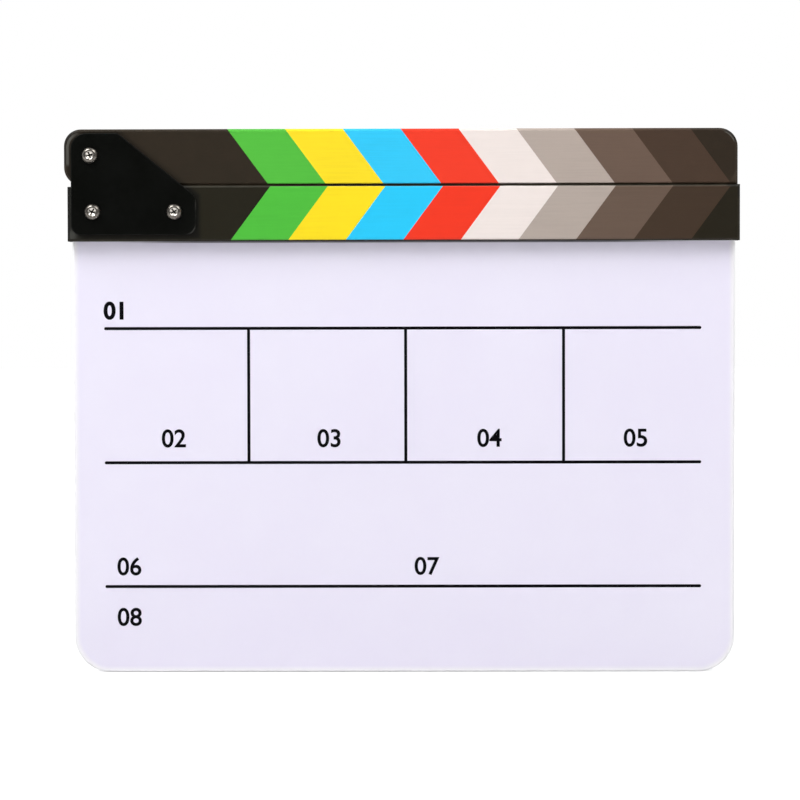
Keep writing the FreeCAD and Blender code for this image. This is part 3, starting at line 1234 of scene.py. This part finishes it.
@dataclass(frozen=True)
class PanScrew:
    """A pan-head machine screw as one surface turned about Y, with a cross recess and a cut thread.

    Its head lies on the plate, and its thread shows past the piece that it is held by.
    """

    node: str
    held_by: str
    turn: float
    plate: str = "front_hinge_plate"
    rim: float = 0.9 * MM
    flat: float = 2.4 * MM
    soft_run: float = 0.2 * MM
    shank: float = 2.0 * MM
    neck: float = 0.05 * MM
    neck_run: float = 0.02 * MM
    core: float = 1.6 * MM
    pitch: float = 0.7 * MM
    crest_slope: float = 1.5
    crest_drop: float = 0.3
    run_in: float = 0.05 * MM
    tip_chamfer: float = 0.3 * MM
    mouth: float = 1.95 * MM
    mouth_slope: float = 0.7
    recess_length: float = 3.2 * MM
    recess_wing: float = 0.8 * MM
    recess_depth: float = 1.9 * MM
    floor_rise: float = 0.45
    wall_run: float = 0.16 * MM
    pole: float = 0.01 * MM
    head_rings: int = 64
    thread_rings: int = 72
    around: int = 160
    sharp: float = math.radians(40)

    def _angles(self) -> Array:
        """Give the angles of the points in a ring, as a row."""
        return np.linspace(0, 2 * math.pi, self.around, endpoint=False)[None, :]

    def _recess(self, radius: Array, angle: Array) -> Array:
        """Work out the depth of the cross recess.

        The mouth is a cone, slope * (mouth - r) deep. With p and q along and across a wing, a wing is
        step((length / 2 - |p|) / run) * step((wing / 2 - |q|) / run) times a floor that falls towards the
        middle. The depth is the largest of the mouth and the two wings.

        Args:
            radius, angle: The places on the head.

        Returns:
            The depth below the head's top.
        """
        p = np.abs(radius * np.cos(angle - self.turn))
        q = np.abs(radius * np.sin(angle - self.turn))

        def step(gap: Array) -> Array:
            """Rise smoothly from 0 to 1 over the run of a wall."""
            share = np.clip(gap / self.wall_run, 0, 1)
            return share**2 * (3 - 2 * share)

        def wing(long: Array, wide: Array) -> Array:
            """Give one wing's share of the depth."""
            return step(self.recess_length / 2 - long) * step(self.recess_wing / 2 - wide)

        floor = self.recess_depth * (1 - self.floor_rise * np.clip(2 * radius / self.recess_length, 0, 1))
        cone = self.mouth_slope * np.maximum(self.mouth - radius, 0)
        return np.maximum(np.maximum(wing(p, q), wing(q, p)) * floor, cone)

    def _head(self, reach: float, height: float) -> tuple[Array, Array, Array]:
        """Work out the domed head: a flat top that runs softly into an arc down to the rim.

        The arc is a circle through the flat's edge and the rim, and the lower of arc and flat is softened as
        (a + b - sqrt((a - b)^2 + run^2)) / 2.

        Args:
            reach: The head's radius.
            height: The head's height.

        Returns:
            Radius, place along Y from the plate and recess depth, each of shape (rings, around).
        """
        rise = height - self.rim
        centre = (reach**2 - self.flat**2 - rise**2) / (2 * rise)
        radius = np.linspace(self.pole, reach, self.head_rings)[:, None]
        arc = self.rim - centre + np.sqrt(np.maximum(reach**2 + centre**2 - radius**2, 0))
        top = (arc + height - np.sqrt((arc - height) ** 2 + self.soft_run**2)) / 2
        depth = self._recess(radius, self._angles())
        return np.broadcast_to(radius, depth.shape), depth - top, depth

    def _shank(self, reach: float, clamped: float, length: float) -> tuple[Array, Array]:
        """Work out the shank behind the head and the threaded end.

        On the end the radius is core + (shank - core) * v, where v is a flat-topped triangle wave of
        y / pitch + angle / turn, a right-handed helix, and fades out at the tip.

        Args:
            reach: The head's radius.
            clamped: From the plate to where the threaded end starts.
            length: From the plate to the tip.

        Returns:
            Radius and place along Y from the plate, each of shape (rings, around).
        """
        plain_radius = np.array([reach, self.shank + self.neck, self.shank, self.shank])
        place = np.linspace(clamped + self.run_in, length - self.tip_chamfer, self.thread_rings)
        turns = place[:, None] / self.pitch + self._angles() / (2 * math.pi)
        wave = np.abs(turns % 1 - 0.5) * 2
        fade = np.clip((length - place[:, None]) / self.pitch, 0, 1)
        crest = np.clip(self.crest_slope * wave - self.crest_drop, 0, 1) * fade
        thread = self.core + (self.shank - self.core) * crest
        tip_radius = (self.core - self.tip_chamfer) * np.array([1.0, 0.5])
        shape = (1, self.around)
        ends = [np.tile(radius[:, None], shape) for radius in (plain_radius, tip_radius)]
        stations = np.concatenate([[0.0, 0.0, self.neck_run, clamped], place, [length, length]])
        return np.concatenate([ends[0], thread, ends[1]]), np.tile(stations[:, None], shape)

    def build(self) -> Piece:
        """Make the screw in the place of its solid.

        Each point keeps its share of the recess depth. Of the two points that close the ends, the one in the
        middle of the recess has 1 and the one at the tip 0.

        Returns:
            The screw.
        """
        low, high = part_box(self.node)
        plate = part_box(self.plate)[0].y
        reach = (high.x - low.x) / 2
        head_radius, head_place, depth = self._head(reach, plate - low.y)
        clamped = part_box(self.held_by)[1].y - plate
        shank_radius, shank_place = self._shank(reach, clamped, high.y - plate)
        radius = np.concatenate([head_radius, shank_radius])
        x = (low.x + high.x) / 2 + radius * np.cos(self._angles())
        y = plate + np.concatenate([head_place, shank_place])
        z = (low.z + high.z) / 2 + radius * np.sin(self._angles())
        piece = skin(f"{self.node}_turned", np.stack([x, y, z], axis=-1), self.sharp)
        shares = np.concatenate([depth.ravel() / self.recess_depth, np.zeros(shank_radius.size), [1.0, 0.0]])
        mask = piece.data.attributes.new("recess", "FLOAT", "POINT")
        mask.data.foreach_set("value", shares.astype(np.float32))
        return piece


@dataclass
class Hinge:
    """The two plates, the pivot with its bearing, and the screws and nuts that hold them."""

    body: str = "slate"
    plates: tuple[str, ...] = ("front_hinge_plate", "rear_hinge_plate")
    plate_corner: float = 5.0 * MM
    sleeve: str = "pivot_sleeve"
    soft: tuple[str, ...] = ("front_pivot_washer", "rear_pivot_washer", "lock_nut_ring")
    nuts: tuple[str, ...] = ("pivot_lock_nut", "left_plate_nut", "right_plate_nut")
    board_screws: tuple[str, ...] = ("board_screw_1", "board_screw_2", "board_screw_3", "board_screw_4")
    screws: tuple[PanScrew, ...] = (
        PanScrew("pivot_screw", "lock_nut_ring", turn=math.radians(20)),
        PanScrew("left_plate_screw", "left_plate_nut", turn=math.radians(62)),
        PanScrew("right_plate_screw", "right_plate_nut", turn=math.radians(35)),
    )
    pieces: dict[str, Piece] = field(default_factory=dict)

    def build(self) -> None:
        """Turn the three pan-head screws."""
        self.pieces = {screw.node: screw.build() for screw in self.screws}

    def dress(self, effects: Effects) -> None:
        """Finish the plates, the bearing, the screws and the nuts.

        Args:
            effects: The shared groups.
        """
        for node in self.plates:
            steel = CoatedSteel(f"{node}_coat", Outline.of(node, self.plate_corner))
            coat(steel.material(effects), node)
        plating = SCREW_NICKEL.material(effects)
        for node, piece in self.pieces.items():
            settle(piece, self.body, plating)
            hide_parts(node)
        coat(ZINC.material(effects), *self.nuts, *self.board_screws)
        coat(BRASS.material(effects), self.sleeve)
        coat(NYLON.material(effects), *self.soft)


@dataclass(frozen=True)
class Lamp:
    """A soft rectangular lamp: its name, its place, its width and height, and its power in watts."""

    name: str
    place: Point
    size: Range
    power: float


@dataclass
class Studio:
    """The pale floor, the soft lights, the white surround and the camera."""

    floor: Finish = PaleFloor("floor_white")
    floor_radius: Range = (0.02, 6.0)
    floor_rings: int = 12
    floor_around: int = 64
    ambient: float = 0.26
    dim_side: float = 0.2
    dim_rise: Range = (-0.4, 0.4)
    lamps: tuple[Lamp, ...] = (
        Lamp("left_lamp", (-0.6, -0.42, 1.1), (0.7, 0.6), 10.95),
        Lamp("right_lamp", (0.6, -0.42, 1.1), (0.7, 0.6), 6.15),
        Lamp("front_lamp", (0.2, -2.2, 1.3), (1.6, 1.0), 3.0),
        Lamp("back_lamp", (0.5, 1.6, 1.3), (1.2, 1.0), 16.0),
    )
    aim: Point = (0.0, 0.0, 0.12)
    camera_place: Point = (8.4 * MM, -1.4, 168.3 * MM)
    yaw: float = math.radians(-0.416)
    pitch: float = math.radians(-1.883)
    roll: float = math.radians(-0.121)
    lens: float = 140.5
    clip: Range = (0.01, 50.0)

    def _lay(self, effects: Effects) -> None:
        """Lay the floor as a disc: rings at r, points at (r cos a, r sin a).

        Args:
            effects: The shared groups.
        """
        radius = np.linspace(*self.floor_radius, self.floor_rings)[:, None]
        angle = np.linspace(0, 2 * math.pi, self.floor_around, endpoint=False)[None, :]
        flat = np.stack([radius * np.cos(angle), radius * np.sin(angle), 0 * radius * angle], axis=-1)
        quads = ring_quads(self.floor_rings, self.floor_around)[:, ::-1].tolist()
        mesh = bpy.data.meshes.new("floor")
        mesh.from_pydata(flat.reshape(-1, 3).tolist(), [], quads + [list(range(self.floor_around))])
        mesh.materials.append(self.floor.material(effects))
        link("floor", mesh)

    def _surround(self) -> None:
        """Surround the object with white for the camera, for mirrors and for glass, and light it softly.

        The white is a backdrop behind the object. What mirrors and gloss see falls from 1 to dim_side as the
        direction turns from the backdrop to the front.
        """
        world = bpy.data.worlds.new("white_surround")
        bpy.context.scene.world = world
        world.use_nodes = True
        sheet = NodeSheet(world.node_tree)
        _, back, _ = sheet.split(sheet.add("ShaderNodeTexCoord", {})["Generated"])
        room = sheet.between(sheet.rise(back, *self.dim_rise), self.dim_side, 1.0)
        sources = {"Color": PURE_WHITE, "Strength": sheet.by_ray(self.ambient, room, 1.0)}
        sheet.feed(world.node_tree.nodes["Background"].inputs, sources)

    def _hang(self, lamp: Lamp) -> None:
        """Hang a lamp so that it faces the object.

        Args:
            lamp: The lamp.
        """
        light = bpy.data.lights.new(lamp.name, "AREA")
        light.shape = "RECTANGLE"
        light.size, light.size_y = lamp.size
        light.energy = lamp.power
        holder = link(lamp.name, light)
        holder.location = lamp.place
        holder.rotation_mode = "QUATERNION"
        holder.rotation_quaternion = (Vector(self.aim) - Vector(lamp.place)).to_track_quat("-Z", "Y")

    def _point(self) -> None:
        """Set up the camera: turned by yaw about the upright, then pitch, then roll about its own axis."""
        camera = bpy.data.cameras.new("camera")
        camera.lens = self.lens
        camera.clip_start, camera.clip_end = self.clip
        holder = link("camera", camera)
        holder.matrix_world = (
            Matrix.Translation(self.camera_place)
            @ Matrix.Rotation(-self.yaw, 4, "Z")
            @ Matrix.Rotation(math.pi / 2 + self.pitch, 4, "X")
            @ Matrix.Rotation(self.roll, 4, "Z")
        )
        bpy.context.scene.camera = holder

    def build(self, effects: Effects) -> None:
        """Set up the studio.

        Args:
            effects: The shared groups.
        """
        self._lay(effects)
        self._surround()
        for lamp in self.lamps:
            self._hang(lamp)
        self._point()
        bpy.context.scene.view_settings.view_transform = "Standard"
        LOG.info("studio has its floor, %d lamps and the camera", len(self.lamps))


def main() -> None:
    """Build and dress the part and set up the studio."""
    logging.basicConfig(level=logging.INFO, format="%(name)s: %(message)s")
    effects = Effects()
    for assembly in (Slate(), Sticks(), Hinge()):
        assembly.build()
        assembly.dress(effects)
    Studio().build(effects)


if __name__ == "__main__":
    main()
